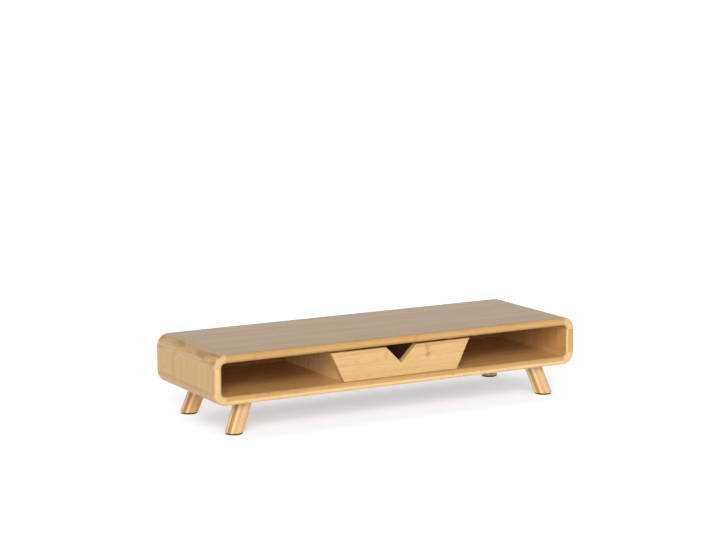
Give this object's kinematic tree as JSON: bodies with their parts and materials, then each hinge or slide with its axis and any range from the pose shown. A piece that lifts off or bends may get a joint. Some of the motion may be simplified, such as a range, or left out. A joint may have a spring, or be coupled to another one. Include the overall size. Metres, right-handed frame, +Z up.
{
  "type": "monitor stand with drawer",
  "caption": "Low bamboo monitor stand: a rounded open-front box on splayed round legs, with open compartments beside a pull-out drawer that has a V-notch grip.",
  "frame": {"origin": "on the surface the stand stands on, under the middle of its width and depth", "axes": "+X along the width to the right seen from the front, +Y from the open front to the back, +Z up"},
  "size_m": [0.6, 0.2, 0.118],
  "materials": {
    "bamboo_panel": "satin clear lacquer over strips along the width",
    "bamboo_side": "satin clear lacquer over upright strips",
    "bamboo_corner": "satin clear lacquer, streaked along the depth",
    "bamboo_back": "matt clear lacquer",
    "bamboo_divider": "satin clear lacquer over upright strips",
    "bamboo_leg": "turned, satin clear lacquer",
    "bamboo_drawer_front": "satin clear lacquer over strips along the width",
    "bamboo_drawer_box": "sanded, thin clear lacquer",
    "dowel_wood": "raw",
    "foot_pad": "matt, slightly grained"
  },
  "bodies": {
    "stand": {"top_panel": "bamboo_panel", "bottom_panel": "bamboo_panel", "side_panel_left": "bamboo_side", "side_panel_right": "bamboo_side", "corner_top_left": "bamboo_corner", "corner_top_right": "bamboo_corner", "corner_bottom_left": "bamboo_corner", "corner_bottom_right": "bamboo_corner", "corner_splines": "dowel_wood", "back_panel": "bamboo_back", "divider_left": "bamboo_divider", "divider_right": "bamboo_divider", "leg_front_left": "bamboo_leg", "leg_front_right": "bamboo_leg", "leg_back_left": "bamboo_leg", "leg_back_right": "bamboo_leg", "leg_dowels": "dowel_wood", "foot_pad_front_left": "foot_pad", "foot_pad_front_right": "foot_pad", "foot_pad_back_left": "foot_pad", "foot_pad_back_right": "foot_pad"},
    "drawer": {"drawer_front": "bamboo_drawer_front", "drawer_side_left": "bamboo_drawer_box", "drawer_side_right": "bamboo_drawer_box", "drawer_back": "bamboo_drawer_box", "drawer_bottom": "bamboo_drawer_box", "drawer_dowels": "dowel_wood"}
  },
  "joints": [
    {"name": "drawer_slide", "type": "slide", "parent": "stand", "child": "drawer", "axis": [0, -1, 0], "range_m": [0, 0.15]}
  ]
}
